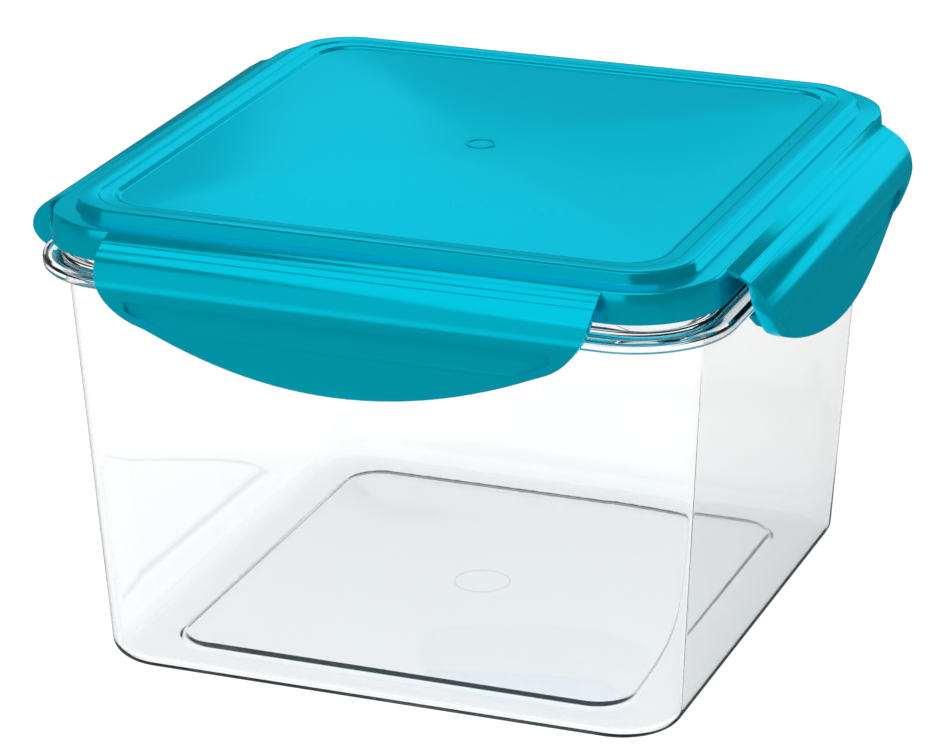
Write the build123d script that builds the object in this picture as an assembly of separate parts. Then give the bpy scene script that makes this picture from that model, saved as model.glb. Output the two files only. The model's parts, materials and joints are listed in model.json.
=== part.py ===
"""Food storage container: clear tub, press-down lid and four snap clips.

Millimetres, +Z up. The origin is the middle of the tub's underside, the front
clip faces -Y and the right clip faces +X. Every half size is given along X;
the same half size along Y is longer by `deeper`.
"""
import os
from math import cos, radians, sin, sqrt

from build123d import *

# Overall size
rim_half = 104.0        # the tub's upright rim from the middle, along X
deeper = 3.0            # each half depth is this much more than the half width
ledge_top = 134.5       # height of the ledge's flat top

# Tub
wall = 1.9
wall_inset = 2.4        # rim to the outer wall just under the ledge
wall_draft = 7.8        # the wall leans in by this much down to the floor
wall_radius = 20.4      # corner of the wall, seen from above
base_radius = 19.0
base_edge = 5.0         # rounding where wall and floor meet
floor_thick = 2.2
foot_wide = 17.8        # width of the ring the tub stands on
foot_rise = 1.5         # how far the middle of the floor is raised
foot_radius = 13.0
foot_wall = 1.5
foot_ease = 1.0
disc_radius = 9.0       # round moulding mark in the middle of the underside
disc_tall = 0.8
ledge_thick = 2.0
lip_drop = 4.0          # ledge top to the bottom of its down-turned lip
lip_thick = 2.0
ledge_radius = 31.6
ledge_wide = 6.0        # the ledge reaches this far beyond the rim
rim_rise = 8.5
rim_radius = 25.4
ledge_ease = 0.8
rim_ease = 0.45

# Lid
lid_wall = 1.8
skirt_gap = 3.9         # open gap between the ledge and the lid's skirt
skirt_tall = 9.6
skirt_out = 2.8         # rim to the skirt's outer face at its lower edge
skirt_taper = 0.8       # the skirt leans in by this much towards the top
skirt_thick = 1.6
skirt_radius = 27.8
ridge_inset = 7.1       # shelf's edge to the foot of the raised square moulding
ridge_rise = 3.5
ridge_lean = 0.7
ridge_radius = 20.0
ridge_wide = 11.4       # width of the moulding at its foot, up to the sunken panel
panel_radius = 13.0
panel_dome = 1.4        # the panel's middle above its edges
panel_sink = 1.2        # the panel's edge below the moulding's top
plug_gap = 1.9          # inside of the rim to the locating wall
plug_thick = 1.6
plug_lift = 4.0         # the plug stops this far above the ledge
gate_ring = 5.0         # moulding mark in the panel's middle, radius
lid_ease = 0.7          # bevel along the shelf and the moulding

# Seal
seal_side_gap = 0.2     # seal to the channel walls
seal_seat_gap = 0.05    # seal to the channel roof
seal_rim_gap = 0.12     # seal to the rim

# Clips and their film hinges, measured outward from the shelf's edge
hinge_half = 78.0       # half the length of a clip along its hinge
hinge_out = 5.0         # middle of the hinge strip
hinge_drop = 3.1        # below the shelf
hinge_slope = -31.0     # degrees, the strip runs down and out
strip_wide = 3.3
film = 1.0              # strip thickness
fold_gap = 0.15         # clearance on both sides of the strip
clip_thick = 1.8
clip_stand = 9.8        # the clip's outer face above its cross step, beyond the ledge
clip_step = 1.8         # depth of the cross step
foot_flare = 0.4        # lower edge of the clip beyond that face
clip_hollow = 1.3       # how far the lower half curves in
clip_deep = 34.7        # hinge to the lowest point of the clip
clip_rise = 21.4        # the clip's curved foot: its middle lies this far below its ends
clip_corner = 22.0      # corner rounding of the clip's outline
clip_wall = 1.6         # end walls of the clip's shell
wall_deep = 5.2         # how far the end walls reach in from the outer face
foot_lip = 1.2          # the foot's edge is this much thicker than the shell
hook_bite = 1.2         # the hook reaches this far under the lip
hook_play = 0.7         # hook top to the lip
hook_tall = 3.8
hook_short = 8.0        # the hook stops this far from each clip end
rib_thick = 1.4
rib_pitch = 24.0
rib_tall = 6.0
rib_to_ledge = 1.2      # ribs to the ledge's edge

# Sizes that follow from the ones above
wall_half = rim_half - wall_inset
base_half = wall_half - wall_draft
foot_half = base_half - foot_wide
ledge_half = rim_half + ledge_wide
skirt_half = rim_half + skirt_out
plug_half = rim_half - wall - plug_gap
rim_top = ledge_top + rim_rise
skirt_low = ledge_top + skirt_gap
shelf_top = skirt_low + skirt_tall
shelf_low = shelf_top - lid_wall
shelf_half = skirt_half - skirt_taper
ridge_half = shelf_half - ridge_inset
panel_half = ridge_half - ridge_wide
ridge_top = shelf_top + ridge_rise
panel_edge = ridge_top - panel_sink
panel_top = panel_edge + panel_dome
skirt_in_low = skirt_half - skirt_thick
skirt_in_top = shelf_half - skirt_thick
plug_low = ledge_top + plug_lift
hinge = (hinge_out, shelf_top - hinge_drop)
ledge_out = ledge_half - shelf_half
clip_out = ledge_out + clip_stand
foot_out = clip_out + foot_flare
lip_low = ledge_top - lip_drop
hook_top = lip_low - hook_play
hook_tip = ledge_out - hook_bite
clip_low = hinge[1] - clip_deep
foot_bend = (hinge_half ** 2 + clip_rise ** 2) / (2 * clip_rise)
rib_count = int(2 * (hinge_half - hook_short) / rib_pitch) + 1
step_low = hook_top + 0.7
step_top = step_low + 1.2


def block(half, radius, low, high):
    """Upright block with rounded corners between two heights."""
    shape = RectangleRounded(2 * half, 2 * (half + deeper), radius)
    return extrude(Pos(0, 0, low) * shape, amount=high - low)


def tapered(half_low, half_high, radius_low, radius_high, low, high):
    """Block whose half size and corner radius change evenly with height."""
    bottom = RectangleRounded(2 * half_low, 2 * (half_low + deeper), radius_low)
    top = RectangleRounded(2 * half_high, 2 * (half_high + deeper), radius_high)
    return loft([(Pos(0, 0, low) * bottom).face(), (Pos(0, 0, high) * top).face()])


def ring(half, thick, radius, low, high):
    """Upright wall that runs round the whole part."""
    inner = block(half - thick, radius - thick, low - 1, high + 1)
    return block(half, radius, low, high) - inner


def section(points, half_length):
    """Bar along Y with the given outline of (outward, height) points."""
    face = Plane.XZ * make_face(Polyline(*points, close=True))
    return extrude(face, amount=half_length, both=True)


def rounded(shape, face_index, radius):
    """Round the edges of the lowest (0) or highest (-1) face."""
    face = shape.faces().sort_by(Axis.Z)[face_index]
    return fillet(face.edges(), radius=radius)


def eased(shape, face_index, length):
    """Bevel the edges of the lowest (0) or highest (-1) face."""
    face = shape.faces().sort_by(Axis.Z)[face_index]
    return chamfer(face.edges(), length=length)


def make_tub():
    """Tapered tub with a foot ring, a ledge with a lip, and an upright rim."""
    outer = tapered(base_half, wall_half, base_radius, wall_radius, 0, ledge_top - ledge_thick)
    outer = rounded(outer, 0, base_edge)
    rise = (wall_half - base_half) / (ledge_top - ledge_thick)
    inner_low = base_half + rise * floor_thick - wall
    inner = tapered(inner_low, wall_half - wall, base_radius - wall, wall_radius - wall,
                    floor_thick, ledge_top + 0.01)
    inner = rounded(inner, 0, base_edge - 1.5)

    ledge = block(ledge_half, ledge_radius, lip_low, ledge_top)
    ledge = eased(eased(ledge, -1, ledge_ease), 0, ledge_ease)
    under = block(ledge_half - lip_thick, ledge_radius - lip_thick,
                  lip_low - 1, ledge_top - ledge_thick)
    ledge -= under
    rim = block(rim_half, rim_radius, ledge_top - 0.5, rim_top)
    rim = eased(rim, -1, rim_ease)
    rim_hole = block(rim_half - wall, rim_radius - wall, ledge_top, rim_top + 1)
    tub = outer + ledge + rim - inner - rim_hole

    # The middle of the floor is raised, which leaves a ring to stand on
    raised = block(foot_half, foot_radius, floor_thick - 0.5, floor_thick + foot_rise)
    tub += eased(raised, -1, foot_ease)
    tub -= block(foot_half - foot_wall, foot_radius - foot_wall, -1, foot_rise)
    tub += Pos(0, 0, foot_rise) * Cylinder(disc_radius, disc_tall)
    return tub


def make_lid():
    """Lid with shelf, raised moulding, domed panel, channel and four wings."""
    cap = tapered(skirt_half, shelf_half, skirt_radius, skirt_radius - skirt_taper,
                  skirt_low, shelf_top)
    cap = eased(cap, -1, lid_ease)
    ridge = tapered(ridge_half, ridge_half - ridge_lean, ridge_radius, ridge_radius - ridge_lean,
                    shelf_top - 0.5, ridge_top)
    ridge = eased(ridge, -1, lid_ease)
    cap += ridge
    cap -= block(panel_half, panel_radius, shelf_low - 5, ridge_top + 1)
    cap -= tapered(skirt_in_low, skirt_in_top, skirt_radius - skirt_thick,
                   skirt_radius - skirt_taper - skirt_thick, skirt_low, shelf_low)
    cap -= block(ridge_half - lid_wall, ridge_radius - lid_wall, shelf_low - 1, ridge_top - lid_wall)

    # The panel is a slice of a very large thin ball
    ball = (panel_half ** 2) / (2 * panel_dome)
    shell = Sphere(ball) - Sphere(ball - lid_wall)
    panel = block(panel_half + 0.3, panel_radius, shelf_low - 5, ridge_top + 1)
    panel &= Pos(0, 0, panel_top - ball) * shell
    lowest = panel_edge - panel_dome - lid_wall
    wall_ring = ring(panel_half + lid_wall, lid_wall, panel_radius + lid_wall, lowest, ridge_top - 0.4)
    mark = Pos(0, 0, panel_top - 0.4) * (Cylinder(gate_ring, 1.3) - Cylinder(gate_ring - 0.8, 2))
    plug = ring(plug_half, plug_thick, ridge_radius + 2.0, plug_low, shelf_low + 0.5)
    cap += panel
    cap += wall_ring
    cap += mark
    cap += plug
    for place in sides():
        cap += place * make_wing()
    return cap


def fold_corners(way):
    """Two corners of the edge that faces the strip; way is -1 inside, 1 outside."""
    slope = radians(hinge_slope)
    along = (cos(slope), sin(slope))
    across = (-sin(slope), cos(slope))
    reach = strip_wide / 2 + fold_gap
    mid = (hinge[0] + way * reach * along[0], hinge[1] + way * reach * along[1])
    upper = (mid[0] + film / 2 * across[0], mid[1] + film / 2 * across[1])
    lower = (mid[0] - film / 2 * across[0], mid[1] - film / 2 * across[1])
    return upper, lower


def make_wing():
    """Sloped strip of the lid that carries one clip."""
    upper, lower = fold_corners(-1)
    points = [(-1.5, shelf_top), (-0.3, shelf_top), upper, lower,
              (0.6, shelf_low + 0.2), (-1.5, shelf_low)]
    return section(points, hinge_half)


def make_strip():
    """Thin strip between the lid's wing and a clip, with round edges."""
    slot = SlotOverall(strip_wide, film)
    turned = Pos(hinge[0], hinge[1]) * Rot(0, 0, hinge_slope) * slot
    return extrude(Plane.XZ * turned, amount=hinge_half, both=True)


def clip_outline(inset):
    """Front view of a clip as a block: straight ends, round corners, curved foot."""
    top = hinge[1] + 2
    half = hinge_half - inset
    low = clip_low + inset
    bend = foot_bend - inset
    corner = low + bend - sqrt(bend ** 2 - half ** 2)
    edges = [Line((half, top), (half, corner)), ThreePointArc((half, corner), (0, low), (-half, corner)),
             Line((-half, corner), (-half, top)), Line((-half, top), (half, top))]
    face = make_face(edges)
    lower = face.vertices().sort_by(Axis.Y)[:2]
    face = fillet(lower, radius=clip_corner - inset)
    return extrude(Plane.YZ * face, amount=clip_out + 10)


def clip_outer():
    """Outer face of a clip from the hinge to the foot: bulge, cross step, hollow flare."""
    upper = fold_corners(1)[0]
    bulge_end = step_top + 2.0
    middle = ((upper[0] + clip_out) / 2 + 1.2, (upper[1] + bulge_end) / 2 + 0.9)
    waist = clip_out - clip_step
    hollow = ((waist + foot_out) / 2 - clip_hollow, (step_low + clip_low) / 2)
    return [ThreePointArc(upper, middle, (clip_out, bulge_end)),
            Line((clip_out, bulge_end), (clip_out, step_top)),
            Line((clip_out, step_top), (waist, step_low)),
            ThreePointArc((waist, step_low), hollow, (foot_out, clip_low - 1))]


def make_clip():
    """Clip shell with bulge, cross step, hook rail, ribs, end walls and a foot lip."""
    upper, lower = fold_corners(1)
    bulge_end = step_top + 2.0
    waist = clip_out - clip_step - clip_thick
    inner_face = clip_out - clip_thick
    foot_in = foot_out - clip_thick
    hollow = ((waist + foot_in) / 2 - clip_hollow, (step_low + clip_low) / 2)
    bulge = ((lower[0] + inner_face) / 2 + 0.9, (lower[1] + bulge_end) / 2 + 0.6)
    shell_inner = [
        Line((foot_out, clip_low - 1), (foot_in, clip_low - 1)),
        ThreePointArc((foot_in, clip_low - 1), hollow, (waist, step_low + 0.6)),
        Line((waist, step_low + 0.6), (inner_face, step_top + 0.6)),
        Line((inner_face, step_top + 0.6), (inner_face, bulge_end)),
        ThreePointArc((inner_face, bulge_end), bulge, lower),
        Line(lower, upper),
    ]
    shell = extrude(Plane.XZ * make_face(clip_outer() + shell_inner), amount=hinge_half, both=True)

    # End walls and foot lip: a deeper section, kept only along the outline
    lip_in = foot_in - foot_lip
    deep_inner = [
        Line((foot_out, clip_low - 1), (lip_in, clip_low - 1)),
        Line((lip_in, clip_low - 1), (waist - foot_lip, clip_low + 9)),
        Line((waist - foot_lip, clip_low + 9), (clip_out - wall_deep, step_low)),
        Line((clip_out - wall_deep, step_low), (clip_out - wall_deep - 1.4, step_low + 7)),
        Line((clip_out - wall_deep - 1.4, step_low + 7), lower),
        Line(lower, upper),
    ]
    deep = extrude(Plane.XZ * make_face(clip_outer() + deep_inner), amount=hinge_half, both=True)
    walls = deep - clip_outline(clip_wall)

    root = waist + 0.6
    hook = section([(root, hook_top), (hook_tip, hook_top), (hook_tip, hook_top - 0.9),
                    (hook_tip + 2.2, hook_top - hook_tall + 0.8), (root, hook_top - hook_tall)],
                   hinge_half - hook_short)
    clip = shell + walls + hook
    rib_in = ledge_out + rib_to_ledge
    rib = section([(root, hook_top - 0.5), (rib_in, hook_top - 0.5), (rib_in, hook_top + 1.5),
                   (inner_face + 0.4, hook_top + rib_tall), (inner_face + 0.4, step_top),
                   (root, step_low)], rib_thick / 2)
    for count in range(rib_count):
        clip += Pos(0, rib_pitch * (count - (rib_count - 1) / 2), 0) * rib
    return clip & clip_outline(0)


def make_seal():
    """Soft ring that fills the channel above the rim, with a shallow groove below."""
    outer = skirt_in_top - seal_side_gap
    inner = plug_half + seal_side_gap
    low = rim_top + seal_rim_gap
    high = shelf_low - seal_seat_gap
    seal = ring(outer, outer - inner, skirt_radius - skirt_taper - skirt_thick - seal_side_gap, low, high)
    groove = ring(rim_half + 0.1, wall + 0.2, rim_radius + 0.1, low - 1, low + 0.35)
    return seal - groove


def sides():
    """Places of the four clips: right, back, left, front."""
    near = shelf_half
    far = shelf_half + deeper
    return [Pos(near, 0, 0), Pos(0, far, 0) * Rot(0, 0, 90),
            Pos(-near, 0, 0) * Rot(0, 0, 180), Pos(0, -far, 0) * Rot(0, 0, -90)]


def save(shape, name):
    """Write one piece."""
    export_step(shape, "parts/" + name + ".step")


os.makedirs("parts", exist_ok=True)
save(make_tub(), "tub")
save(make_lid(), "lid")
save(make_seal(), "seal")
clip = make_clip()
strip = make_strip()
for place, side in zip(sides(), ("right", "back", "left", "front")):
    save(place * clip, "clip_" + side)
    save(place * strip, "hinge_strip_" + side)
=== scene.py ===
"""Studio picture of a food storage container: clear tub, turquoise lid, seal and snap clips."""

import json
import logging
import math
from dataclasses import dataclass
from enum import Enum

import bmesh
import bpy
from mathutils import Matrix, Vector

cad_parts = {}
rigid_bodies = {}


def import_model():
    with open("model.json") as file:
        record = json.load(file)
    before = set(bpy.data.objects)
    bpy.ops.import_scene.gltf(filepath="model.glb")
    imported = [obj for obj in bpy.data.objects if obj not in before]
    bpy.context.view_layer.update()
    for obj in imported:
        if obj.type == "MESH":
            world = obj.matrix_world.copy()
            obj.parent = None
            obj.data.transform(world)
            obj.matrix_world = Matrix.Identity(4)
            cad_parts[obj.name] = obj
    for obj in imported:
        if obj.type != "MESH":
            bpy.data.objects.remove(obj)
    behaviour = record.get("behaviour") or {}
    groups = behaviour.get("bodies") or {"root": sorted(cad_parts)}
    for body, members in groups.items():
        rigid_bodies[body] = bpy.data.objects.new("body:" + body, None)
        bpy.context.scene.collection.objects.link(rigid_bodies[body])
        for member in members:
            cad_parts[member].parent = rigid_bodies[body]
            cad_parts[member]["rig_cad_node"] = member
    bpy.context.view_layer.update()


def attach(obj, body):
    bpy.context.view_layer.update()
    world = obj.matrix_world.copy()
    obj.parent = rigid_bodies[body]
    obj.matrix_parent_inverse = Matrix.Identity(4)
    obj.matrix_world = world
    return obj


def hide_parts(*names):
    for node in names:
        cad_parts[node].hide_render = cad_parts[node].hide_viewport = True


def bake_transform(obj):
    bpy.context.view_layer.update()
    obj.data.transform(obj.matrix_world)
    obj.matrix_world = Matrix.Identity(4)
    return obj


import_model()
MM = 0.001
LOG = logging.getLogger("container")

GRAIN_SCALE = 900.0
GRAIN_SHARE = 0.02
CORNER_STEPS = 20

Ring = tuple[float, float, float]
Point = tuple[float, float]


class Side(Enum):
    """The four sides that carry a clip, each with its turn about Z in degrees."""

    RIGHT = 0
    BACK = 90
    LEFT = 180
    FRONT = 270

    @property
    def label(self) -> str:
        """Name used in the names of bodies and CAD nodes."""
        return self.name.lower()


class Slot(Enum):
    """Material slots of the record."""

    TUB = "clear_tub"
    LID = "lid_plastic"
    CLIP = "clip_plastic"
    SEAL = "seal_rubber"


def deselect() -> None:
    """Leave edit mode and deselect every object."""
    if bpy.context.object and bpy.context.object.mode == "EDIT":
        bpy.ops.object.mode_set(mode="OBJECT")
    bpy.ops.object.select_all(action="DESELECT")


class Workpiece:
    """A mesh object that is shaped with operators, sizes in millimetres."""

    def __init__(self, name: str, obj: bpy.types.Object) -> None:
        """Take over a new primitive.

        Args:
            name: name of the finished piece.
            obj: the primitive.
        """
        obj.name = name
        obj.data.name = name
        self.obj = obj

    @property
    def bm(self) -> bmesh.types.BMesh:
        """The mesh that is being edited."""
        return bmesh.from_edit_mesh(self.obj.data)

    def edit(self) -> None:
        """Open this piece alone in edit mode."""
        deselect()
        self.obj.select_set(True)
        bpy.context.view_layer.objects.active = self.obj
        bpy.ops.object.mode_set(mode="EDIT")

    def close(self) -> None:
        """Return to object mode."""
        bpy.ops.object.mode_set(mode="OBJECT")

    def pick_verts(self, chosen: set[int]) -> None:
        """Select the vertices with these indices and nothing else.

        Args:
            chosen: vertex indices.
        """
        bm = self.bm
        bpy.ops.mesh.select_all(action="DESELECT")
        bm.verts.ensure_lookup_table()
        for index in chosen:
            bm.verts[index].select_set(True)
        bm.select_flush_mode()
        bmesh.update_edit_mesh(self.obj.data)

    def apply(self, modifier: bpy.types.Modifier) -> None:
        """Apply one modifier.

        Args:
            modifier: the modifier, on this object.
        """
        deselect()
        self.obj.select_set(True)
        bpy.context.view_layer.objects.active = self.obj
        bpy.ops.object.modifier_apply(modifier=modifier.name)

    def soften(self, width: float, steps: int = 3, angle: float = 32.0) -> None:
        """Round every edge sharper than an angle.

        Args:
            width: width of the rounding in millimetres.
            steps: segments across it.
            angle: smallest edge angle in degrees that is rounded.
        """
        bevel = self.obj.modifiers.new("soften", "BEVEL")
        bevel.width = width * MM
        bevel.segments = steps
        bevel.limit_method = "ANGLE"
        bevel.angle_limit = math.radians(angle)
        bevel.use_clamp_overlap = True
        self.apply(bevel)

    def smooth(self, angle: float = 35.0) -> None:
        """Shade smooth, but keep edges sharper than an angle.

        Args:
            angle: the angle in degrees.
        """
        deselect()
        self.obj.select_set(True)
        bpy.context.view_layer.objects.active = self.obj
        bpy.ops.object.shade_smooth_by_angle(angle=math.radians(angle))

    def outward(self) -> None:
        """Merge doubles and turn every face outwards."""
        self.edit()
        bpy.ops.mesh.select_all(action="SELECT")
        bpy.ops.mesh.remove_doubles(threshold=0.002 * MM)
        bpy.ops.mesh.normals_make_consistent(inside=False)
        self.close()

    def turn(self, degrees: float) -> None:
        """Turn the mesh about the vertical axis through the origin.

        Args:
            degrees: the turn, anticlockwise seen from above.
        """
        self.obj.data.transform(Matrix.Rotation(math.radians(degrees), 4, "Z"))

    def shift(self, x: float, y: float, z: float = 0.0) -> None:
        """Move the mesh, not the object, by millimetres."""
        self.obj.data.transform(Matrix.Translation((x * MM, y * MM, z * MM)))

    def dress(self, finish: bpy.types.Material, body: str, slot: Slot, *nodes: str) -> None:
        """Give the finished piece its material, fix it to its body and hide the CAD nodes it replaces.

        Args:
            finish: its material.
            body: the CAD body it rides on.
            slot: the record's material slot; not used.
            nodes: CAD nodes it replaces.
        """
        self.obj.data.materials.clear()
        self.obj.data.materials.append(finish)
        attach(self.obj, body)
        if nodes:
            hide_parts(*nodes)


class RoundedShell(Workpiece):
    """A rounded-square form that grows ring by ring from a flat plate."""

    def __init__(self, name: str, start: Ring, deeper: float, corner_steps: int) -> None:
        """Make the first plate.

        Args:
            name: name of the piece.
            start: half size along X, corner radius and height.
            deeper: how much more each half size is along Y.
            corner_steps: segments in each corner.
        """
        deselect()
        half, radius, height = start
        bpy.ops.mesh.primitive_plane_add(size=2 * MM, location=(0, 0, 0))
        super().__init__(name, bpy.context.object)
        self.deeper = deeper
        self.half, self.radius, self.height = start
        self.edit()
        bpy.ops.mesh.select_all(action="SELECT")
        bpy.ops.transform.resize(value=(half, half + deeper, 1), center_override=(0, 0, 0))
        bpy.ops.transform.translate(value=(0, 0, height * MM))
        bpy.ops.mesh.bevel(offset=radius * MM, offset_type="OFFSET", segments=corner_steps, affect="VERTICES")
        self.cap = {vert.index for vert in self.bm.verts}

    def step(self, half: float, radius: float, height: float) -> None:
        """Extrude the cap and place its corners for the next ring.

        Args:
            half: half size along X.
            radius: corner radius.
            height: height of the ring.
        """
        self.pick_verts(self.cap)
        bpy.ops.mesh.select_mode(type="FACE")
        bpy.ops.mesh.extrude_region_move(TRANSFORM_OT_translate={"value": (0, 0, (height - self.height) * MM)})
        bpy.ops.mesh.select_mode(type="VERT")
        self.cap = {vert.index for vert in self.bm.verts if vert.select}
        grow = radius / self.radius
        along_x = (half - radius) - (self.half - self.radius)
        for turn_x in (-1, 1):
            for turn_y in (-1, 1):
                corner = {
                    vert.index
                    for vert in self.bm.verts
                    if vert.index in self.cap and vert.co.x * turn_x > 0 and vert.co.y * turn_y > 0
                }
                self.pick_verts(corner)
                middle = (
                    turn_x * (self.half - self.radius) * MM,
                    turn_y * (self.half + self.deeper - self.radius) * MM,
                    height * MM,
                )
                bpy.ops.transform.resize(value=(grow, grow, 1), center_override=middle)
                bpy.ops.transform.translate(value=(turn_x * along_x * MM, turn_y * along_x * MM, 0))
        self.half, self.radius, self.height = half, radius, height

    def steps(self, rings: list[Ring]) -> None:
        """Walk through several rings.

        Args:
            rings: half size, corner radius and height of each.
        """
        for ring in rings:
            self.step(*ring)


class Bar(Workpiece):
    """A straight bar: an outline that is drawn from a circle's points and then extruded."""

    def __init__(self, name: str, outline: list[Point], low: float, high: float, axis: str = "Y") -> None:
        """Draw the outline and extrude it.

        Args:
            name: name of the piece.
            outline: its points in order. They are (x, z) for axis Y and (y, z) for axis X.
            low: where the bar starts along its axis.
            high: where it ends.
            axis: the axis it runs along.
        """
        deselect()
        bpy.ops.mesh.primitive_circle_add(vertices=len(outline), radius=MM, fill_type="NGON")
        super().__init__(name, bpy.context.object)
        self.edit()
        bpy.ops.mesh.select_mode(type="VERT")
        for index, (across, up) in enumerate(outline):
            self.pick_verts({index})
            self.bm.verts.ensure_lookup_table()
            here = self.bm.verts[index].co
            target = (across, low, up) if axis == "Y" else (low, across, up)
            bpy.ops.transform.translate(value=tuple(goal * MM - now for goal, now in zip(target, here)))
        bpy.ops.mesh.select_all(action="SELECT")
        run = (high - low) * MM
        bpy.ops.mesh.extrude_region_move(
            TRANSFORM_OT_translate={"value": (0, run, 0) if axis == "Y" else (run, 0, 0)}
        )
        bpy.ops.mesh.select_all(action="SELECT")
        bpy.ops.mesh.normals_make_consistent(inside=False)
        self.close()

    def combine(self, other: "Bar", how: str) -> None:
        """Boolean with another bar, which is used up.

        Args:
            other: the cutter or the added form.
            how: INTERSECT, DIFFERENCE or UNION.
        """
        cut = self.obj.modifiers.new("cut", "BOOLEAN")
        cut.object = other.obj
        cut.operation = how
        cut.solver = "EXACT"
        self.apply(cut)
        bpy.data.objects.remove(other.obj)

    def join(self, others: list["Bar"]) -> None:
        """Join other bars to this mesh.

        Args:
            others: bars that become part of this one.
        """
        deselect()
        for other in others:
            other.obj.select_set(True)
        self.obj.select_set(True)
        bpy.context.view_layer.objects.active = self.obj
        bpy.ops.object.join()


def arc(start: Point, middle: Point, end: Point, steps: int) -> list[Point]:
    """Points along the circle arc through three points.

    Args:
        start: first point.
        middle: a point between.
        end: last point.
        steps: number of segments.

    Returns:
        The points from start to end.
    """
    ax, ay = start
    bx, by = middle
    cx, cy = end
    spread = 2 * (ax * (by - cy) + bx * (cy - ay) + cx * (ay - by))
    ox = ((ax**2 + ay**2) * (by - cy) + (bx**2 + by**2) * (cy - ay) + (cx**2 + cy**2) * (ay - by)) / spread
    oy = ((ax**2 + ay**2) * (cx - bx) + (bx**2 + by**2) * (ax - cx) + (cx**2 + cy**2) * (bx - ax)) / spread
    radius = math.hypot(ax - ox, ay - oy)
    first = math.atan2(ay - oy, ax - ox)
    mid = math.atan2(by - oy, bx - ox)
    last = math.atan2(cy - oy, cx - ox)
    turn = (last - first) % (2 * math.pi)
    if (mid - first) % (2 * math.pi) > turn:
        turn -= 2 * math.pi
    return [
        (ox + radius * math.cos(first + turn * k / steps), oy + radius * math.sin(first + turn * k / steps))
        for k in range(steps + 1)
    ]


def shared_surface_group() -> bpy.types.NodeTree:
    """Make the node group for a moulded surface.

    Returns:
        The group. It gives a roughness and a bump height from faint flow marks and fine grain.
    """
    group = bpy.data.node_groups.new("moulded_surface", "ShaderNodeTree")
    group.interface.new_socket("Roughness low", in_out="INPUT", socket_type="NodeSocketFloat")
    group.interface.new_socket("Roughness high", in_out="INPUT", socket_type="NodeSocketFloat")
    group.interface.new_socket("Wave size", in_out="INPUT", socket_type="NodeSocketFloat")
    group.interface.new_socket("Roughness", in_out="OUTPUT", socket_type="NodeSocketFloat")
    group.interface.new_socket("Height", in_out="OUTPUT", socket_type="NodeSocketFloat")
    nodes, links = group.nodes, group.links
    enter = nodes.new("NodeGroupInput")
    leave = nodes.new("NodeGroupOutput")
    place = nodes.new("ShaderNodeTexCoord")
    wave = nodes.new("ShaderNodeTexNoise")
    wave.inputs["Detail"].default_value = 1.5
    wave.inputs["Roughness"].default_value = 0.4
    grain = nodes.new("ShaderNodeTexNoise")
    grain.inputs["Scale"].default_value = GRAIN_SCALE
    grain.inputs["Detail"].default_value = 2.0
    spread = nodes.new("ShaderNodeMapRange")
    blend = nodes.new("ShaderNodeMath")
    blend.operation = "MULTIPLY_ADD"
    blend.inputs[1].default_value = GRAIN_SHARE
    links.new(place.outputs["Object"], wave.inputs["Vector"])
    links.new(place.outputs["Object"], grain.inputs["Vector"])
    links.new(enter.outputs["Wave size"], wave.inputs["Scale"])
    links.new(grain.outputs["Fac"], spread.inputs["Value"])
    links.new(enter.outputs["Roughness low"], spread.inputs["To Min"])
    links.new(enter.outputs["Roughness high"], spread.inputs["To Max"])
    links.new(grain.outputs["Fac"], blend.inputs[0])
    links.new(wave.outputs["Fac"], blend.inputs[2])
    links.new(spread.outputs["Result"], leave.inputs["Roughness"])
    links.new(blend.outputs["Value"], leave.inputs["Height"])
    return group


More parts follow.
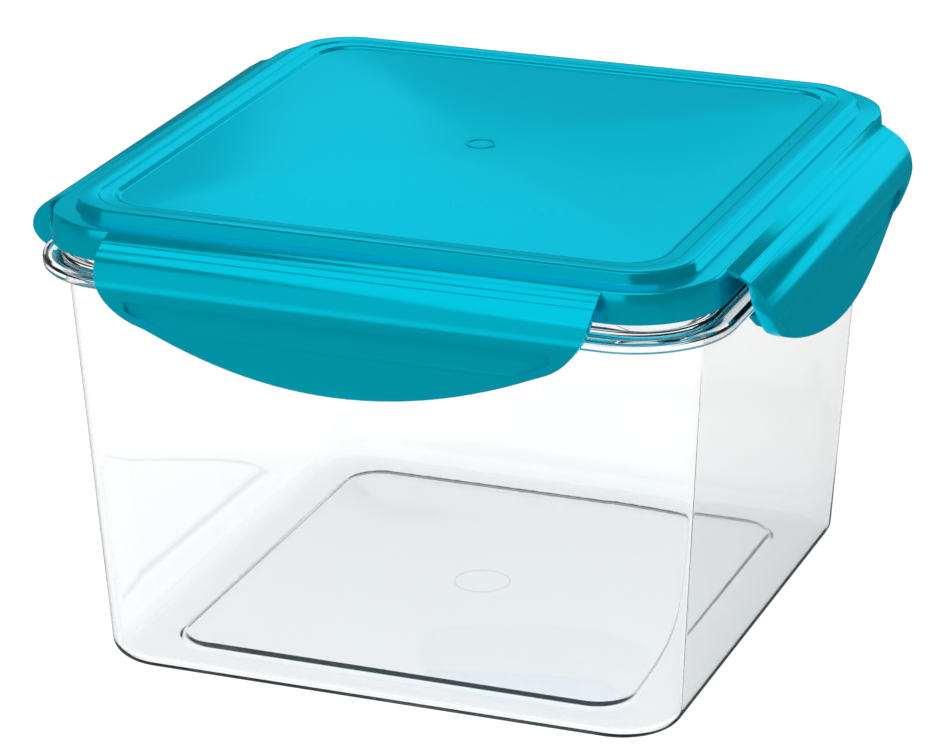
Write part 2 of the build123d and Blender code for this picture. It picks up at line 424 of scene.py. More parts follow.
@dataclass(frozen=True)
class Finish:
    """A moulded plastic or rubber finish."""

    name: str
    colour: tuple[float, float, float]
    roughness: tuple[float, float]
    wave: float
    bump: float
    ior: float = 1.49
    transmission: float = 0.0
    coat: float = 0.0
    glow: float = 0.0
    glow_reach: tuple[float, float, float] = (0.3, 1.0, 1.0)
    specular: float = 0.5
    gleam: float = 0.0
    sheen_tint: tuple[float, float, float] = (1.0, 1.0, 1.0)
    lets_light_by: float = 0.0

    def make(self, surface: bpy.types.NodeTree) -> bpy.types.Material:
        """Build the material.

        Args:
            surface: the shared moulded surface group.

        Returns:
            The material.
        """
        material = bpy.data.materials.new(self.name)
        material.use_nodes = True
        nodes, links = material.node_tree.nodes, material.node_tree.links
        shader = nodes["Principled BSDF"]
        shader.inputs["Base Color"].default_value = (*self.colour, 1.0)
        shader.inputs["IOR"].default_value = self.ior
        shader.inputs["Transmission Weight"].default_value = self.transmission
        shader.inputs["Coat Weight"].default_value = self.coat
        shader.inputs["Coat Roughness"].default_value = 0.06
        shader.inputs["Specular IOR Level"].default_value = self.specular
        shader.inputs["Specular Tint"].default_value = (*self.sheen_tint, 1.0)
        shader.inputs["Metallic"].default_value = self.gleam
        shader.inputs["Subsurface Weight"].default_value = self.glow
        shader.inputs["Subsurface Radius"].default_value = self.glow_reach
        shader.inputs["Subsurface Scale"].default_value = 0.002
        marks = nodes.new("ShaderNodeGroup")
        marks.node_tree = surface
        marks.inputs["Roughness low"].default_value = self.roughness[0]
        marks.inputs["Roughness high"].default_value = self.roughness[1]
        marks.inputs["Wave size"].default_value = self.wave
        bump = nodes.new("ShaderNodeBump")
        bump.inputs["Strength"].default_value = 1.0
        bump.inputs["Distance"].default_value = self.bump * MM
        links.new(marks.outputs["Roughness"], shader.inputs["Roughness"])
        links.new(marks.outputs["Height"], bump.inputs["Height"])
        links.new(bump.outputs["Normal"], shader.inputs["Normal"])
        if self.lets_light_by:
            self.thin_shadow(material.node_tree)
        return material

    def thin_shadow(self, tree: bpy.types.NodeTree) -> None:
        """Let shadow and diffuse rays pass, as light does through clear walls.

        Args:
            tree: the material's node tree.
        """
        nodes, links = tree.nodes, tree.links
        rays = nodes.new("ShaderNodeLightPath")
        either = nodes.new("ShaderNodeMath")
        either.operation = "MAXIMUM"
        links.new(rays.outputs["Is Shadow Ray"], either.inputs[0])
        links.new(rays.outputs["Is Diffuse Ray"], either.inputs[1])
        clear = nodes.new("ShaderNodeBsdfTransparent")
        clear.inputs["Color"].default_value = (self.lets_light_by,) * 3 + (1.0,)
        mix = nodes.new("ShaderNodeMixShader")
        links.new(either.outputs["Value"], mix.inputs["Fac"])
        links.new(nodes["Principled BSDF"].outputs["BSDF"], mix.inputs[1])
        links.new(clear.outputs["BSDF"], mix.inputs[2])
        links.new(mix.outputs["Shader"], nodes["Material Output"].inputs["Surface"])


TURQUOISE = Finish(
    "turquoise_plastic", (0.0, 0.60, 0.79), (0.15, 0.21), 18.0, 0.08,
    coat=0.03, specular=0.0, gleam=0.72, sheen_tint=(0.0, 0.74, 0.84),
)
CLEAR = Finish(
    "clear_plastic", (0.965, 0.965, 0.965), (0.0, 0.015), 14.0, 0.05, transmission=1.0, lets_light_by=0.97
)
SILICONE = Finish("silicone_seal", (0.80, 0.85, 0.86), (0.38, 0.5), 30.0, 0.05, ior=1.41, glow=0.25)


@dataclass
class Tub:
    """Clear tub, made as one closed wall from the underside over the rim to the inner floor."""

    deeper: float = 3.0
    base_half: float = 93.8
    wall_half: float = 101.6
    base_radius: float = 19.0
    wall_radius: float = 20.4
    wall: float = 1.9
    floor: float = 2.2
    disc: float = 9.0
    disc_line: float = 0.16
    foot_half: float = 76.0
    foot_radius: float = 13.3
    foot_rise: float = 1.5
    edge: float = 5.0
    inner_edge: float = 3.5
    edge_steps: int = 8
    ledge_top: float = 134.5
    ledge_low: float = 132.5
    lip_low: float = 130.5
    ledge_half: float = 110.0
    ledge_radius: float = 31.6
    rim_half: float = 104.0
    rim_radius: float = 25.4
    rim_top: float = 143.0

    def wall_at(self, height: float) -> tuple[float, float]:
        """Find the outer wall at a height.

        Args:
            height: the height above the foot.

        Returns:
            Half size along X and corner radius.
        """
        share = height / self.ledge_low
        half = self.base_half + (self.wall_half - self.base_half) * share
        return half, self.base_radius + (self.wall_radius - self.base_radius) * share

    def outer_rings(self) -> list[Ring]:
        """List the rings from the foot to the ledge's lip.

        Returns:
            Half size, corner radius and height of each.
        """
        foot, bend, rise = self.foot_half, self.foot_radius, self.foot_rise
        rings = [
            (foot - 1.5, bend - 1.5, rise - 0.08), (foot - 0.9, bend - 0.9, 1.1), (foot - 0.2, bend - 0.3, 0.5),
            (foot + 0.5, bend + 0.3, 0.08), (foot + 1.1, bend + 0.8, 0.0),
        ]
        for k in range(self.edge_steps + 1):
            turn = math.radians(90 * k / self.edge_steps)
            height = self.edge * (1 - math.cos(turn))
            half, radius = self.wall_at(height)
            inset = self.edge * (1 - math.sin(turn))
            rings.append((half - inset, radius - inset * 0.8, height))
        for height in (30.0, 60.0, 90.0, 115.0, 131.2):
            rings.append((*self.wall_at(height), height))
        half, radius = self.wall_at(self.ledge_low)
        rings += [(half + 0.35, radius + 0.4, self.ledge_low - 0.4), (half + 1.2, radius + 1.4, self.ledge_low)]
        return rings

    def ledge_rings(self) -> list[Ring]:
        """List the rings round the ledge, its lip and the upright rim.

        Returns:
            Half size, corner radius and height of each.
        """
        out, turn, low, top = self.ledge_half, self.ledge_radius, self.lip_low, self.ledge_top
        rim, bend, crest = self.rim_half, self.rim_radius, self.rim_top
        lip = [
            (2.7, self.ledge_low), (2.15, self.ledge_low - 0.2), (2.0, low + 1.2), (2.0, low + 0.7),
            (1.8, low + 0.2), (1.3, low), (0.7, low + 0.05), (0.2, low + 0.45), (0.0, low + 1.1),
            (0.0, top - 1.0), (0.2, top - 0.4), (0.8, top),
        ]
        edge = [
            (0.0, top + 0.8), (0.0, crest - 0.7), (0.15, crest - 0.2), (0.6, crest), (1.3, crest),
            (1.75, crest - 0.2), (1.9, crest - 0.7), (1.9, top + 0.9),
        ]
        return [
            *((out - inset, turn - inset, height) for inset, height in lip),
            (rim + 1.0, bend + 1.6, top), (rim + 0.3, bend + 0.4, top + 0.2),
            *((rim - inset, bend - inset, height) for inset, height in edge),
            (rim - 2.2, bend - 2.4, top + 0.3), (rim - 2.8, bend - 3.2, top),
        ]

    def inner_rings(self) -> list[Ring]:
        """List the rings from the rim down the inner wall to the raised floor.

        Returns:
            Half size, corner radius and height of each.
        """
        rings = []
        top = self.ledge_top
        wall = [(top, 0.6), (top - 0.3, 0.2), (top - 0.9, 0.0), (115.0, 0.0), (90.0, 0.0), (60.0, 0.0), (30.0, 0.0)]
        for height, more in wall:
            half, radius = self.wall_at(height)
            rings.append((half - self.wall + more, radius - self.wall + more, height))
        for k in range(self.edge_steps + 1):
            turn = math.radians(90 * k / self.edge_steps)
            height = self.floor + self.inner_edge * (1 - math.sin(turn))
            half, radius = self.wall_at(height)
            inset = self.wall + self.inner_edge * (1 - math.cos(turn))
            rings.append((half - inset, radius - inset * 0.8, height))
        foot, bend, low = self.foot_half, self.foot_radius, self.floor
        rise = low + self.foot_rise
        return [
            *rings, (foot + 1.1, bend + 0.8, low), (foot + 0.5, bend + 0.3, low + 0.08),
            (foot - 0.2, bend - 0.3, low + 0.5), (foot - 0.9, bend - 0.9, low + 1.1),
            (foot - 1.5, bend - 1.5, rise - 0.08), (foot - 2.1, bend - 2.1, rise), (foot - 30.0, 9.0, rise),
        ]

    def build(self, finish: bpy.types.Material) -> None:
        """Build and dress the tub.

        Args:
            finish: clear plastic.
        """
        start = (self.foot_half - 2.1, self.foot_radius - 2.1, self.foot_rise)
        shell = RoundedShell("tub_shell", start, self.deeper, CORNER_STEPS)
        shell.steps([*self.outer_rings(), *self.ledge_rings(), *self.inner_rings()])
        shell.close()
        shell.outward()
        shell.smooth()
        shell.dress(finish, "tub", Slot.TUB, "tub")
        deselect()
        bpy.ops.mesh.primitive_torus_add(
            location=(0, 0, (self.foot_rise - self.disc_line) * MM), major_segments=64, minor_segments=10,
            major_radius=self.disc * MM, minor_radius=self.disc_line * MM,
        )
        disc = Workpiece("tub_disc", bpy.context.object)
        bpy.ops.object.transform_apply(location=True, rotation=True, scale=True)
        disc.smooth(80)
        disc.dress(finish, "tub", Slot.TUB)


@dataclass
class Lid:
    """Turquoise lid: one closed wall from the domed underside to the domed panel, with four wings."""

    deeper: float = 3.0
    thick: float = 1.8
    shelf_top: float = 148.0
    ridge_top: float = 151.5
    panel_top: float = 151.7
    panel_half: float = 87.5
    panel_radius: float = 13.0
    panel_steps: tuple[float, ...] = (10.0, 20.0, 32.0, 44.0, 56.0, 68.0, 78.0, 85.0)
    dome: float = 1.4
    plug_half: float = 100.2
    plug_radius: float = 22.0
    plug_low: float = 138.5
    skirt_low: float = 138.4
    skirt_half: float = 106.8
    skirt_radius: float = 27.8
    ridge_half: float = 98.9
    ridge_radius: float = 20.0
    wing_half: float = 78.0
    mark_radius: float = 4.4
    mark_line: float = 0.5
    mark_flat: float = 0.45
    wing: tuple[Point, ...] = (
        (-2.6, 147.95), (-0.9, 147.9), (-0.3, 147.75), (0.3, 147.5), (0.7, 147.3), (1.4, 147.05), (3.3, 146.6),
        (3.7, 146.26), (3.19, 145.41), (0.6, 145.9), (-0.6, 145.9), (-2.6, 146.4),
    )

    def panel_ring(self, half: float, drop: float) -> Ring:
        """One ring of the dome.

        Args:
            half: its half size.
            drop: how far it lies below the panel's face.

        Returns:
            The ring.
        """
        share = half / self.panel_half
        return half, self.panel_radius * share, self.panel_top - self.dome * share**2 - drop

    def under_rings(self) -> list[Ring]:
        """List the rings under the panel, the moulding, the plug wall and the channel.

        Returns:
            Half size, corner radius and height of each.
        """
        ridge, plug, bend, low = self.ridge_half, self.plug_half, self.plug_radius, self.plug_low
        return [
            *(self.panel_ring(half, self.thick) for half in self.panel_steps[1:]),
            (86.6, 12.6, 148.3), (87.4, 13.2, 147.5), (88.0, 13.6, 147.15), (88.7, 14.2, 147.15),
            (89.2, 14.7, 147.5), (89.3, 14.8, 149.1), (89.9, 15.3, 149.7), (96.4, 17.6, 149.7),
            (97.0, 18.1, 149.2), (97.1, 18.2, 146.9), (97.6, 19.0, 146.3), (ridge - 0.7, 19.8, 146.0),
            (plug - 1.6, bend - 1.6, 145.3), (plug - 1.5, bend - 1.5, low + 0.7), (plug - 1.3, bend - 1.3, low + 0.2),
            (plug - 0.9, bend - 0.9, low), (plug - 0.5, bend - 0.5, low), (plug - 0.1, bend - 0.1, low + 0.3),
            (plug, bend, low + 0.8), (plug, bend, 145.6), (plug + 0.2, bend + 0.2, 146.1),
            (plug + 0.7, bend + 0.6, 146.2), (103.6, 24.6, 146.2), (104.3, 25.3, 146.0), (104.45, 25.45, 145.4),
        ]

    def outer_rings(self) -> list[Ring]:
        """List the rings up the skirt, over the shelf and the moulding to the panel.

        Returns:
            Half size, corner radius and height of each.
        """
        low, shelf, top = self.skirt_low, self.shelf_top, self.ridge_top
        skirt = [
            (1.6, low + 0.6), (1.4, low + 0.1), (1.0, low), (0.5, low), (0.1, low + 0.2), (0.0, low + 0.7),
            (0.75, shelf - 1.0), (0.95, shelf - 0.4), (1.5, shelf - 0.08), (2.2, shelf),
        ]
        ridge, bend = self.ridge_half, self.ridge_radius
        return [
            *((self.skirt_half - inset, self.skirt_radius - inset, height) for inset, height in skirt),
            (ridge + 1.0, bend + 1.0, shelf), (ridge + 0.3, bend + 0.3, shelf + 0.1),
            (ridge - 0.05, bend - 0.05, shelf + 0.5), (ridge - 0.6, bend - 0.6, top - 0.8),
            (ridge - 0.85, bend - 0.85, top - 0.3), (ridge - 1.5, bend - 1.5, top - 0.02),
            (ridge - 2.3, bend - 2.0, top), (93.2, 16.4, top), (92.9, 16.3, top - 0.08), (92.7, 16.2, top - 0.3),
            (92.4, 16.1, top - 0.38), (89.5, 14.7, top - 0.4), (88.7, 14.0, top - 0.5), (88.1, 13.5, top - 0.75),
            (87.7, 13.2, top - 1.05), (87.3, 12.9, top - 1.18), (86.6, 12.7, top - 1.16),
        ]

    def build(self, finish: bpy.types.Material) -> None:
        """Build and dress the lid and its wings.

        Args:
            finish: turquoise plastic.
        """
        start = self.panel_ring(self.panel_steps[0], self.thick)
        shell = RoundedShell("lid_shell", start, self.deeper, CORNER_STEPS)
        shell.steps([*self.under_rings(), *self.outer_rings()])
        shell.steps([self.panel_ring(half, 0.0) for half in reversed(self.panel_steps)])
        shell.close()
        shell.outward()
        shell.smooth()
        shell.dress(finish, "lid", Slot.LID, "lid")
        for side in Side:
            wing = Bar("wing_" + side.label, list(self.wing), -self.wing_half, self.wing_half)
            wing.soften(0.2, 2, 50.0)
            wing.smooth()
            place(wing, side, self.skirt_half - 0.8, self.deeper)
            wing.dress(finish, "lid", Slot.LID)
        self.ring_mark(finish)

    def ring_mark(self, finish: bpy.types.Material) -> None:
        """Add the small round moulding mark in the panel's middle.

        Args:
            finish: turquoise plastic.
        """
        deselect()
        middle = (0, 0, (self.panel_top + 0.02) * MM)
        bpy.ops.mesh.primitive_torus_add(
            location=middle, major_segments=48, minor_segments=10,
            major_radius=self.mark_radius * MM, minor_radius=self.mark_line * MM,
        )
        mark = Workpiece("gate_mark", bpy.context.object)
        mark.edit()
        bpy.ops.mesh.select_all(action="SELECT")
        bpy.ops.transform.resize(value=(1, 1, self.mark_flat), center_override=middle)
        mark.close()
        bpy.ops.object.transform_apply(location=True, rotation=True, scale=True)
        mark.smooth(80)
        mark.dress(finish, "lid", Slot.LID)


def place(piece: Workpiece, side: Side, edge: float, deeper: float) -> None:
    """Turn and move a piece that was made for the right side to its own side.

    Args:
        piece: the piece, drawn outward from the shelf's edge along +X.
        side: where it goes.
        edge: half size of the shelf along X.
        deeper: how much further the front and back sides are.
    """
    reach = edge if side in (Side.RIGHT, Side.LEFT) else edge + deeper
    piece.shift(reach, 0.0)
    piece.turn(side.value)


@dataclass
class Clip:
    """One snap clip: a shell with bulge, cross step, hollow flare, end walls, hook and ribs."""

    half: float = 78.0
    hinge: Point = (5.0, 144.9)
    slope: float = -31.0
    strip_wide: float = 3.3
    film: float = 1.0
    gap: float = 0.15
    thick: float = 1.8
    out: float = 13.8
    step: float = 1.8
    foot_out: float = 14.2
    hollow: float = 1.3
    low: float = 110.2
    bend: float = 153.0
    corner: float = 22.0
    recess: float = 67.0
    recess_edge: float = 2.6
    rounding: float = 0.45
    wall: float = 1.6
    wall_deep: float = 5.2
    lip: float = 1.2
    step_low: float = 130.5
    step_top: float = 131.7
    hook_top: float = 129.8
    hook_tip: float = 2.8
    hook_tall: float = 3.8
    hook_half: float = 65.0
    rib_thick: float = 1.4
    rib_in: float = 5.2
    ribs: tuple[float, ...] = (-60.0, -36.0, -12.0, 12.0, 36.0, 60.0)

    def hinge_corner(self, way: int, upper: bool) -> Point:
        """Find a corner of the edge beside the strip.

        Args:
            way: 1 on the clip's side, -1 on the lid's side.
            upper: whether it is the upper corner.

        Returns:
            The corner.
        """
        slope = math.radians(self.slope)
        reach = way * (self.strip_wide / 2 + self.gap)
        side = self.film / 2 if upper else -self.film / 2
        return (
            self.hinge[0] + reach * math.cos(slope) - side * math.sin(slope),
            self.hinge[1] + reach * math.sin(slope) + side * math.cos(slope),
        )

    def outer_line(self) -> list[Point]:
        """Draw the outer face.

        Returns:
            Points (out, height) from the hinge to the foot.
        """
        start = self.hinge_corner(1, True)
        end = self.step_top + 2.0
        mid = ((start[0] + self.out) / 2 + 1.2, (start[1] + end) / 2 + 0.9)
        line = arc(start, mid, (self.out, end), 14)
        line += [(self.out - 0.02, 132.6), (self.out - 0.08, 131.4), (self.out - 0.25, 130.0)]
        line += [(self.out - 0.52, 128.4), (self.out - 0.88, 126.6), (self.out - 1.25, 124.8)]
        low_part = [spot for spot in self.recess_line() if spot[1] < 123.2]
        return line + low_part

    def recess_line(self) -> list[Point]:
        """Draw the recess's floor and the face below it.

        Returns:
            Points (out, height) from the cross step to the foot.
        """
        waist = self.out - self.step
        hollow = ((waist + self.foot_out) / 2 - self.hollow, (self.step_low + self.low) / 2)
        return arc((waist, self.step_low), hollow, (self.foot_out, self.low - 1), 20)

    def inner_line(self) -> list[Point]:
        """Draw the inner face.

        Returns:
            Points (out, height) from the foot to the hinge.
        """
        start = self.hinge_corner(1, False)
        inner = self.out - self.thick
        waist = inner - self.step
        foot = self.foot_out - self.thick
        end = self.step_top + 2.0
        hollow = ((waist + foot) / 2 - self.hollow, (self.step_low + self.low) / 2)
        bulge = ((start[0] + inner) / 2 + 0.9, (start[1] + end) / 2 + 0.6)
        line = arc((foot, self.low - 1), hollow, (waist, self.step_low + 0.6), 10)
        line += [(inner, self.step_top + 0.6)]
        return line + arc((inner, end), bulge, start, 10)

    def deep_line(self) -> list[Point]:
        """Draw the inner edge of the end walls and the foot's lip.

        Returns:
            Points (out, height) from the foot to the hinge.
        """
        foot = self.foot_out - self.thick - self.lip
        waist = self.out - self.thick - self.step - self.lip
        deep = self.out - self.wall_deep
        return [(foot, self.low - 1), (waist, self.low + 9), (deep, self.step_low), (deep - 1.4, self.step_low + 7)]

    def outline(self, inset: float) -> list[Point]:
        """Draw the front view of the clip.

        Args:
            inset: how far inside the true outline.

        Returns:
            Points (along the side, height) in order.
        """
        half = self.half - inset
        low = self.low + inset
        bend = self.bend - inset
        radius = self.corner - inset
        centre_z = low + bend
        turn_y = half - radius
        turn_z = centre_z - math.sqrt((bend - radius) ** 2 - turn_y**2)
        touch = math.atan2(turn_z - centre_z, turn_y)
        right = []
        for k in range(13):
            angle = touch + (0.0 - touch) * k / 12
            right.append((turn_y + radius * math.cos(angle), turn_z + radius * math.sin(angle)))
        foot = []
        edge = math.pi / 2 + touch
        for k in range(1, 28):
            angle = -math.pi / 2 - edge + 2 * edge * k / 28
            foot.append((bend * math.cos(angle), centre_z + bend * math.sin(angle)))
        left = [(-y, z) for y, z in right]
        top = self.hinge[1] + 3
        return [(half, top), *reversed(right), *reversed(foot), *left, (-half, top)]

    def shell(self, name: str) -> Bar:
        """Build the shell with its end walls.

        Args:
            name: name of the piece.

        Returns:
            The shell.
        """
        upper, lower = self.hinge_corner(1, True), self.hinge_corner(1, False)
        outer = self.outer_line()
        body = Bar(name, [*outer, *self.deep_line(), lower], -self.half, self.half)
        body.combine(Bar("outline", self.outline(0.0), -1.0, 30.0, axis="X"), "INTERSECT")
        inner = self.inner_line()
        back = lower[0] - 6.0
        far = [(back, lower[1] - 0.01), (back, self.low - 3), (self.foot_out - self.thick, self.low - 3)]
        hollow = Bar("hollow", [*inner, *far], -self.half - 1, self.half + 1)
        hollow.combine(Bar("outline", self.outline(self.wall), -10.0, 30.0, axis="X"), "INTERSECT")
        body.combine(hollow, "DIFFERENCE")
        low = [spot for spot in self.recess_line() if 120.6 < spot[1] < 125.5]
        floor = [(self.out, self.step_top + 0.1), (12.0, 131.2), (11.6, 128.0), *low]
        beyond = [(self.out + 4, floor[-1][1] - 0.2), (self.out + 4, self.step_top + 0.1)]
        recess = Bar("recess", [*floor, *beyond], -self.recess, self.recess)
        recess.combine(Bar("outline", self.outline(self.recess_edge), -10.0, 30.0, axis="X"), "INTERSECT")
        body.combine(recess, "DIFFERENCE")
        return body

    def rail(self) -> Bar:
        """Build the hook rail.

        Returns:
            The rail.
        """
        root = self.out - self.step - self.thick + 0.6
        tip, top = self.hook_tip, self.hook_top
        line = [(root, top), (tip + 0.3, top), (tip, top - 0.3), (tip, top - 0.9)]
        line += [(tip + 2.2, top - self.hook_tall + 0.8), (root, top - self.hook_tall)]
        return Bar("rail", line, -self.hook_half, self.hook_half)

    def rib(self, at: float) -> Bar:
        """Build one rib above the hook.

        Args:
            at: its place along the clip.

        Returns:
            The rib.
        """
        root = self.out - self.step - self.thick + 0.6
        inner = self.out - self.thick + 0.4
        tip, top = self.rib_in, self.hook_top
        line = [(root, top - 0.5), (tip, top - 0.5), (tip, top + 1.5)]
        line += [(inner, top + 6.0), (inner, self.step_top), (root, self.step_low)]
        return Bar("rib", line, at - self.rib_thick / 2, at + self.rib_thick / 2)

    def film_web(self, name: str) -> Bar:
        """Build the thin web between the lid's wing and the clip.

        Args:
            name: name of the piece.

        Returns:
            The web, with a fine groove beside each edge.
        """
        slope = math.radians(self.slope)
        reach = self.strip_wide / 2 + self.gap
        depths = [(-reach - 0.1, 0.5), (-reach + 0.15, 0.5), (-reach + 0.4, 0.36), (-reach + 0.65, 0.47)]
        depths += [(-0.6, 0.48), (0.0, 0.48), (0.6, 0.48)]
        depths += [(reach - 0.65, 0.47), (reach - 0.4, 0.36), (reach - 0.15, 0.5), (reach + 0.1, 0.5)]
        under = [(along, -0.3) for along, _ in reversed(depths)]
        line = [
            (
                self.hinge[0] + along * math.cos(slope) - across * math.sin(slope),
                self.hinge[1] + along * math.sin(slope) + across * math.cos(slope),
            )
            for along, across in depths + under
        ]
        return Bar(name, line, -self.half, self.half)

    def build(self, finish: bpy.types.Material, side: Side, edge: float, deeper: float) -> None:
        """Build and dress the clip and its film hinge on one side.

        Args:
            finish: turquoise plastic.
            side: where it goes.
            edge: half size of the shelf along X.
            deeper: how much further the front and back sides are.
        """
        shell = self.shell("clip_shell_" + side.label)
        shell.soften(self.rounding, 3)
        hook = self.rail()
        hook.join([self.rib(at) for at in self.ribs])
        hook.obj.name = "clip_hook_" + side.label
        for piece in (shell, hook):
            piece.smooth()
            place(piece, side, edge, deeper)
        shell.dress(finish, "clip_" + side.label, Slot.CLIP, "clip_" + side.label)
        hook.dress(finish, "clip_" + side.label, Slot.CLIP)
        web = self.film_web("film_hinge_" + side.label)
        web.smooth(50)
        place(web, side, edge, deeper)
        web.obj.data.materials.clear()
        web.obj.data.materials.append(finish)
        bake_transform(web.obj)
        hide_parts("hinge_strip_" + side.label)

    @staticmethod
    def point(spot: Point, side: Side, edge: float, deeper: float) -> tuple[float, float, float]:
        """Turn a point of the right side's section into a place on another side.

        Args:
            spot: the point (out, height).
            side: the side it goes to.
            edge: half size of the shelf along X.
            deeper: how much further the front and back sides are.

        Returns:
            The place in metres.
        """
        reach = edge if side in (Side.RIGHT, Side.LEFT) else edge + deeper
        spun = Matrix.Rotation(math.radians(side.value), 4, "Z") @ Vector(((reach + spot[0]) * MM, 0, spot[1] * MM))
        return tuple(spun)


@dataclass
class Seal:
    """Soft ring in the lid's channel."""

    deeper: float = 3.0
    outer: float = 104.2
    inner: float = 100.45
    low: float = 143.12
    high: float = 146.12
    radius: float = 25.2

    def build(self, finish: bpy.types.Material) -> None:
        """Build and dress the seal.

        Args:
            finish: silicone.
        """
        deselect()
        wide = self.outer - self.inner
        start = (self.inner, self.radius - wide, self.high - 0.6)
        ring = RoundedShell("seal_ring", start, self.deeper, CORNER_STEPS)
        rings = [(0.0, 0.6), (0.15, 0.15), (0.6, 0.0), (1.7, 0.0), (2.2, 0.35), (3.0, 0.35), (3.2, 0.0)]
        for more, drop in rings:
            ring.step(self.inner + more, self.radius - wide + more, self.low + drop)
        ring.step(self.outer - 0.05, self.radius - 0.05, self.low + 0.6)
        ring.step(self.outer, self.radius, self.high - 0.6)
        ring.step(self.outer - 0.5, self.radius - 0.5, self.high)
        ring.step(self.inner + 0.5, self.radius - wide + 0.5, self.high)
        ring.step(self.inner, self.radius - wide, self.high - 0.6)
        bpy.ops.mesh.select_all(action="DESELECT")
        bpy.ops.mesh.select_mode(type="FACE")
        flat = [face for face in ring.bm.faces if len(face.verts) > 8]
        for face in flat:
            face.select_set(True)
        bpy.ops.mesh.delete(type="ONLY_FACE")
        ring.close()
        ring.outward()
        ring.smooth()
        ring.dress(finish, "lid", Slot.SEAL, "seal")


@dataclass(frozen=True)
class Softbox:
    """A rectangular area light, with its place and size in metres and its power in watts."""

    name: str
    place: tuple[float, float, float]
    size: tuple[float, float]
    power: float

    def hang(self, aim: Vector) -> None:
        """Hang the light.

        Args:
            aim: the point it faces.
        """
        data = bpy.data.lights.new(self.name, "AREA")
        data.shape = "RECTANGLE"
        data.size, data.size_y = self.size
        data.energy = self.power
        light = bpy.data.objects.new(self.name, data)
        light.location = self.place
        light.rotation_euler = (Vector(self.place) - aim).to_track_quat("Z", "Y").to_euler()
        light.visible_camera = False
        bpy.context.scene.collection.objects.link(light)


@dataclass(frozen=True)
class Card:
    """A glowing card behind the object, for the lid's panel to mirror, in millimetres.

    Its corners lie to the right and up as the camera sees them.
    """

    name: str
    edge: tuple[Point, ...]
    away: float
    glow: float

    def stand(self, azimuth: float) -> None:
        """Stand the card behind the object.

        Args:
            azimuth: the camera's turn in degrees.
        """
        turn = math.radians(azimuth)
        right = Vector((math.cos(turn), math.sin(turn), 0))
        behind = Vector((-math.sin(turn), math.cos(turn), 0))
        deselect()
        bpy.ops.mesh.primitive_circle_add(vertices=len(self.edge), radius=MM, fill_type="NGON")
        card = Workpiece(self.name, bpy.context.object)
        for vert, (across, up) in zip(card.obj.data.vertices, self.edge):
            vert.co = (right * across + behind * self.away + Vector((0, 0, up))) * MM
        light = bpy.data.materials.new(self.name)
        light.use_nodes = True
        nodes = light.node_tree.nodes
        glower = nodes.new("ShaderNodeEmission")
        glower.inputs["Strength"].default_value = self.glow
        light.node_tree.links.new(glower.outputs["Emission"], nodes["Material Output"].inputs["Surface"])
        card.obj.data.materials.append(light)
        card.obj.visible_camera = False
        card.obj.visible_transmission = False
        card.obj.visible_shadow = False


BRIGHT_EDGE: tuple[Point, ...] = (
    (-270, 950), (-250, 800), (-228, 727), (-201, 678), (-182, 612), (-172, 563), (-155, 524), (-135, 500),
    (-96, 502), (-66, 508), (-54, 530), (-40, 575), (-17, 615), (5, 632), (42, 638), (82, 658), (142, 670),
    (182, 667), (221, 647), (290, 590), (420, 540), (1500, 620), (1500, 1400), (700, 1400), (500, 950),
)


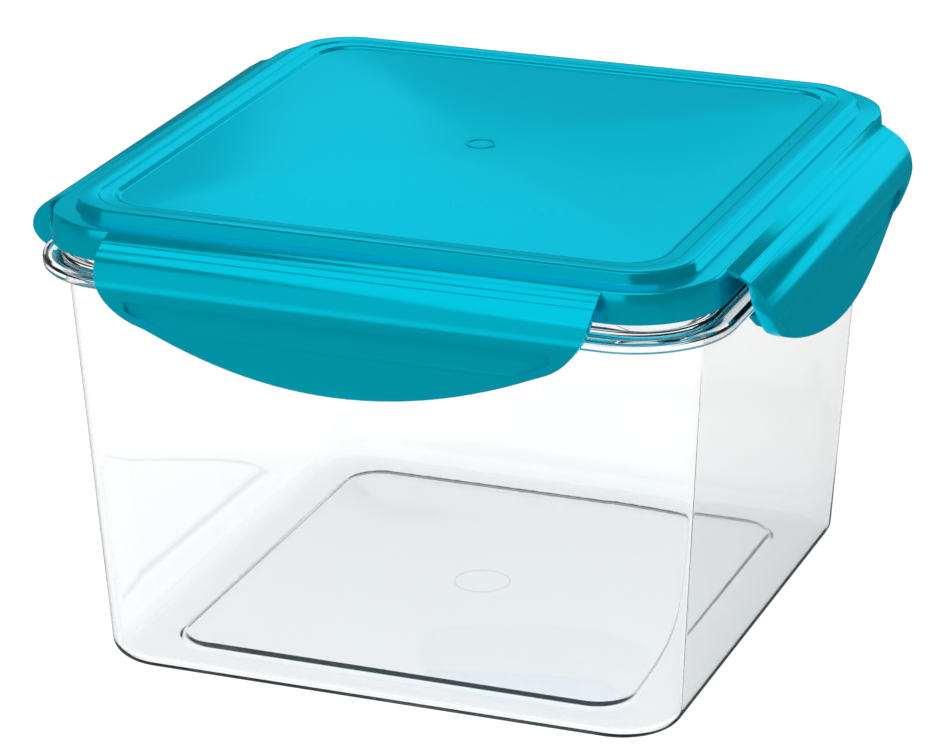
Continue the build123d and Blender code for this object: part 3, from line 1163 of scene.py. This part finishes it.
@dataclass(frozen=True)
class Studio:
    """Floor, lights and camera."""

    azimuth: float = 20.919
    elevation: float = 20.526
    roll: float = -0.3105
    distance: float = 1414.28
    focal_px: float = 4289.54
    target: tuple[float, float, float] = (-16.4, 34.257, 60.0)
    frame_wide: int = 945
    aim: tuple[float, float, float] = (0.0, 0.0, 0.12)
    floor_size: float = 8.0
    floor_drop: float = 0.2
    floor_tone: float = 0.35
    floor_glow: float = 0.92
    floor_mirrored: float = 0.42
    world_glow: float = 0.45
    world_mirrored: float = 0.14
    softboxes: tuple[Softbox, ...] = (
        Softbox("top_light", (-0.15, -0.15, 1.5), (1.8, 1.4), 7.0),
        Softbox("front_light", (-0.5, -1.2, 0.95), (1.8, 1.1), 2.8),
        Softbox("low_light", (-0.55, -1.6, 0.3), (1.8, 0.4), 1.6),
    )
    cards: tuple[Card, ...] = (
        Card("back_card", ((-900, 300), (900, 300), (900, 950), (-900, 950)), 1560.0, 0.62),
        Card("bright_card", BRIGHT_EDGE, 1500.0, 1.15),
        Card("side_card", ((500, 20), (2400, 20), (2400, 600), (500, 600)), 1300.0, 1.2),
    )

    def camera(self) -> None:
        """Place the camera that was fitted to the photograph."""
        turn, rise = math.radians(self.azimuth), math.radians(self.elevation)
        back = Vector((math.sin(turn) * math.cos(rise), -math.cos(turn) * math.cos(rise), math.sin(rise)))
        right = Vector((math.cos(turn), math.sin(turn), 0.0))
        up = back.cross(right)
        lean = math.radians(self.roll)
        side = right * math.cos(lean) + up * math.sin(lean)
        top = up * math.cos(lean) - right * math.sin(lean)
        place = Vector(self.target) * MM + back * self.distance * MM
        data = bpy.data.cameras.new("camera")
        data.sensor_width = 36.0
        data.lens = self.focal_px * 36.0 / self.frame_wide
        data.clip_start = 0.05
        camera = bpy.data.objects.new("camera", data)
        bpy.context.scene.collection.objects.link(camera)
        turned = Matrix((side, top, back)).transposed().to_4x4()
        camera.matrix_world = Matrix.Translation(place) @ turned
        bpy.context.scene.camera = camera

    @staticmethod
    def mirrored_only(tree: bpy.types.NodeTree) -> bpy.types.NodeSocket:
        """Find the rays that were mirrored and didn't pass through the clear plastic.

        Args:
            tree: the node tree that needs them.

        Returns:
            A socket that is 1 for those rays and 0 for others.
        """
        rays = tree.nodes.new("ShaderNodeLightPath")
        only = tree.nodes.new("ShaderNodeMath")
        only.operation = "SUBTRACT"
        only.use_clamp = True
        tree.links.new(rays.outputs["Is Glossy Ray"], only.inputs[0])
        tree.links.new(rays.outputs["Is Transmission Ray"], only.inputs[1])
        return only.outputs["Value"]

    def floor(self) -> None:
        """Lay the plain pale floor. Mirrored and diffuse rays see it darker than the camera does."""
        deselect()
        bpy.ops.mesh.primitive_plane_add(size=self.floor_size, location=(0, 0, -self.floor_drop * MM))
        ground = bpy.context.object
        ground.name = "floor"
        paint = bpy.data.materials.new("floor_white")
        paint.use_nodes = True
        nodes, links = paint.node_tree.nodes, paint.node_tree.links
        shader = nodes["Principled BSDF"]
        shader.inputs["Base Color"].default_value = (self.floor_tone,) * 3 + (1.0,)
        shader.inputs["Roughness"].default_value = 0.9
        shader.inputs["Specular IOR Level"].default_value = 0.0
        shader.inputs["Emission Color"].default_value = (1, 1, 1, 1)
        shader.inputs["Emission Strength"].default_value = self.floor_glow
        dim = nodes.new("ShaderNodeBsdfDiffuse")
        dim.inputs["Color"].default_value = (self.floor_mirrored,) * 3 + (1.0,)
        rays = nodes.new("ShaderNodeLightPath")
        either = nodes.new("ShaderNodeMath")
        either.operation = "MAXIMUM"
        mix = nodes.new("ShaderNodeMixShader")
        links.new(self.mirrored_only(paint.node_tree), either.inputs[0])
        links.new(rays.outputs["Is Diffuse Ray"], either.inputs[1])
        links.new(either.outputs["Value"], mix.inputs["Fac"])
        links.new(shader.outputs["BSDF"], mix.inputs[1])
        links.new(dim.outputs["BSDF"], mix.inputs[2])
        links.new(mix.outputs["Shader"], nodes["Material Output"].inputs["Surface"])
        ground.data.materials.append(paint)

    def lights(self) -> None:
        """Set the pale surroundings, the soft lights and the cards."""
        world = bpy.data.worlds.new("surroundings")
        world.use_nodes = True
        nodes, links = world.node_tree.nodes, world.node_tree.links
        nodes["Background"].inputs["Color"].default_value = (1, 1, 1, 1)
        dim = nodes.new("ShaderNodeMapRange")
        dim.inputs["To Min"].default_value = self.world_glow
        dim.inputs["To Max"].default_value = self.world_mirrored
        links.new(self.mirrored_only(world.node_tree), dim.inputs["Value"])
        links.new(dim.outputs["Result"], nodes["Background"].inputs["Strength"])
        bpy.context.scene.world = world
        bpy.context.scene.view_settings.view_transform = "Standard"
        for softbox in self.softboxes:
            softbox.hang(Vector(self.aim))
        for card in self.cards:
            card.stand(self.azimuth)


def main() -> None:
    """Build the container and its studio, and report each piece."""
    logging.basicConfig(level=logging.INFO, format="%(message)s")
    surface = shared_surface_group()
    turquoise, clear, silicone = TURQUOISE.make(surface), CLEAR.make(surface), SILICONE.make(surface)
    studio = Studio()
    Tub().build(clear)
    lid = Lid()
    lid.build(turquoise)
    Seal().build(silicone)
    for side in Side:
        Clip().build(turquoise, side, lid.skirt_half - 0.8, lid.deeper)
    studio.floor()
    studio.lights()
    studio.camera()
    for obj in bpy.context.scene.objects:
        if obj.type == "MESH" and "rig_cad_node" not in obj:
            LOG.info("%s: %d faces", obj.name, len(obj.data.polygons))


if __name__ == "__main__":
    main()
